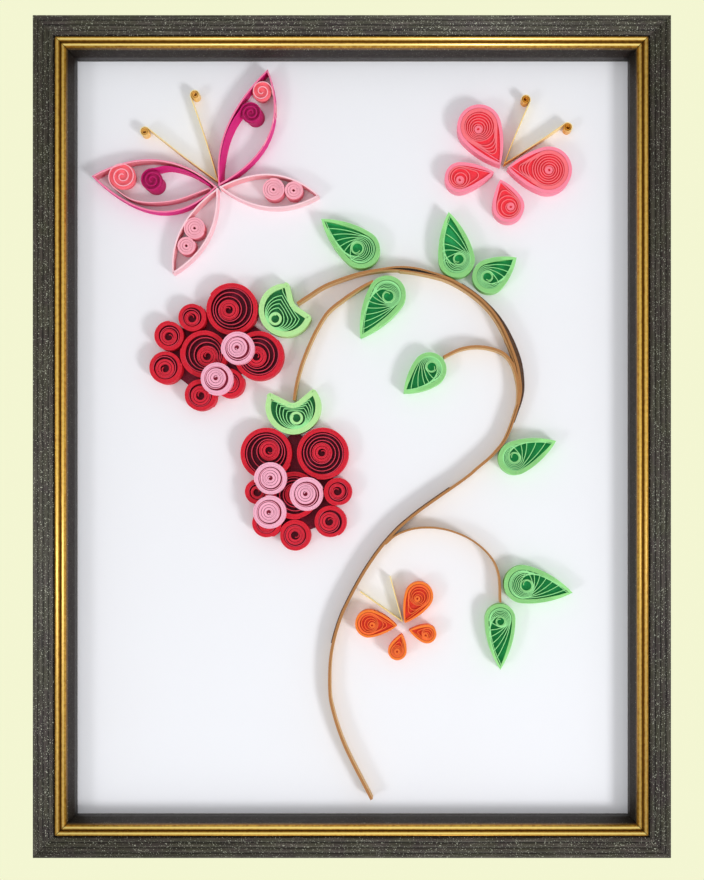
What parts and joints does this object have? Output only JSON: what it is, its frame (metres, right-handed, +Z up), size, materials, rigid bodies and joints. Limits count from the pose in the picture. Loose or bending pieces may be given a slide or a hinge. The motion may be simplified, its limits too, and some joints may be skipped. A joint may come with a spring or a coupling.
{
  "type": "quilled paper picture",
  "caption": "Framed picture of quilled paper strips on white card: two raspberries on a leafy stem with butterflies, in a dark wooden moulding with gilt beads.",
  "frame": {"origin": "middle notch of the sawtooth hanger, on the plane of the frame's back", "axes": "+Z up along the frame's long sides, +X to the right as the picture is seen, +Y into the wall, so the picture faces -Y"},
  "size_m": [0.1958, 0.0189, 0.2586],
  "materials": {
    "moulding": "dark charcoal paint with gilt beads",
    "white_card": "matt white",
    "back_board": "plain board",
    "steel": "zinc plated",
    "hanger_steel": "plated",
    "red_paper": "matt",
    "pink_paper": "matt",
    "green_paper": "matt",
    "brown_paper": "matt",
    "magenta_paper": "matt",
    "rose_paper": "matt",
    "coral_paper": "matt",
    "orange_paper": "matt",
    "cream_paper": "matt"
  },
  "bodies": {
    "root": {"backing_board": "back_board", "berry_branch": "brown_paper", "berry_one_crown": "red_paper", "berry_one_east": "red_paper", "berry_one_flank": "red_paper", "berry_one_foot": "red_paper", "berry_one_heel": "red_paper", "berry_one_hip": "red_paper", "berry_one_shoulder": "red_paper", "berry_one_top_a": "pink_paper", "berry_one_top_b": "pink_paper", "berry_one_west": "red_paper", "berry_two_east": "red_paper", "berry_two_flank": "red_paper", "berry_two_foot": "red_paper", "berry_two_heel": "red_paper", "berry_two_hip": "red_paper", "berry_two_middle": "red_paper", "berry_two_shoulder": "red_paper", "berry_two_top_a": "pink_paper", "berry_two_top_b": "pink_paper", "berry_two_top_c": "pink_paper", "berry_two_west": "red_paper", "board_tabs": "steel", "bottom_rail": "moulding", "butterfly_one_feelers": "cream_paper", "butterfly_one_left_wing": "magenta_paper", "butterfly_one_lower_wing": "rose_paper", "butterfly_one_right_wing": "rose_paper", "butterfly_one_upper_wing": "magenta_paper", "butterfly_three_feelers": "cream_paper", "butterfly_three_lower_left_wing": "orange_paper", "butterfly_three_lower_right_wing": "orange_paper", "butterfly_three_upper_left_wing": "orange_paper", "butterfly_three_upper_right_wing": "orange_paper", "butterfly_two_feelers": "cream_paper", "butterfly_two_lower_left_wing": "coral_paper", "butterfly_two_lower_right_wing": "coral_paper", "butterfly_two_upper_left_wing": "coral_paper", "butterfly_two_upper_right_wing": "coral_paper", "calyx_one": "green_paper", "calyx_two": "green_paper", "corner_nails": "steel", "fork_branch": "brown_paper", "hanger_pins": "steel", "leaf_bend": "green_paper", "leaf_branch": "brown_paper", "leaf_crest": "green_paper", "leaf_east": "green_paper", "leaf_foot": "green_paper", "leaf_middle": "green_paper", "leaf_north": "green_paper", "leaf_tip": "green_paper", "leaf_under": "green_paper", "left_rail": "moulding", "main_stem": "brown_paper", "picture_card": "white_card", "right_rail": "moulding", "sawtooth_hanger": "hanger_steel", "top_rail": "moulding"}
  },
  "joints": []
}
